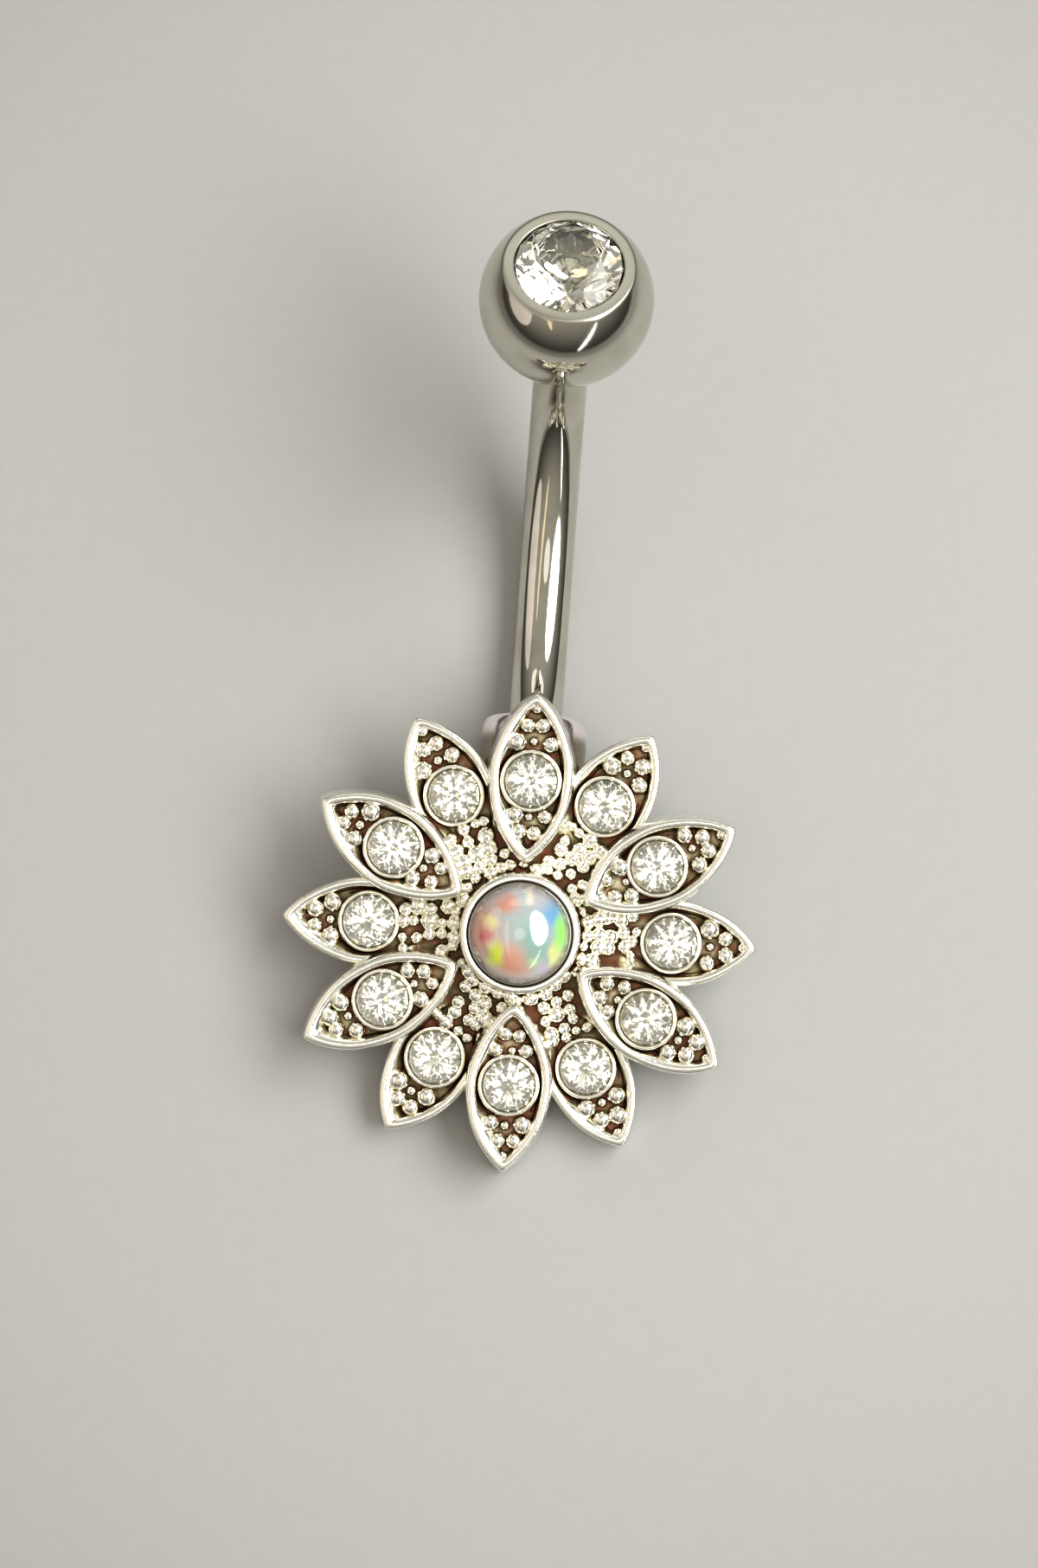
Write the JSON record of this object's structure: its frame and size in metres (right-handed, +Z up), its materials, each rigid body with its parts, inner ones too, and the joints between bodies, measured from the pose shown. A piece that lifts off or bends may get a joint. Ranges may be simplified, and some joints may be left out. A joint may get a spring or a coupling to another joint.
{
  "type": "navel ring",
  "caption": "Curved steel navel ring with a two-tier flower set with clear crystals round an opal, and a screw-on ball set with a crystal.",
  "frame": {"origin": "middle of the footprint of the ring's box, on the surface that it rests on", "axes": "+X across the flower, +Y from the flower to the ball, +Z up from the surface; the flower faces up and a little towards -Y"},
  "size_m": [0.0138, 0.0268, 0.0106],
  "materials": {
    "polished_steel": "polished surgical steel",
    "plated_casting": "bright plated casting, darker in its hollows",
    "crystal": "clear cut crystal",
    "opal": "polished milky opal with patches of colour"
  },
  "bodies": {
    "root": {"stem": "polished_steel", "ball": "polished_steel", "ball_gem": "crystal", "flower": "plated_casting", "opal": "opal", "petal_stone_01": "crystal", "petal_stone_02": "crystal", "petal_stone_03": "crystal", "petal_stone_04": "crystal", "petal_stone_05": "crystal", "petal_stone_06": "crystal", "petal_stone_07": "crystal", "petal_stone_08": "crystal", "petal_stone_09": "crystal", "petal_stone_10": "crystal", "petal_stone_11": "crystal", "petal_stone_12": "crystal"}
  },
  "joints": []
}
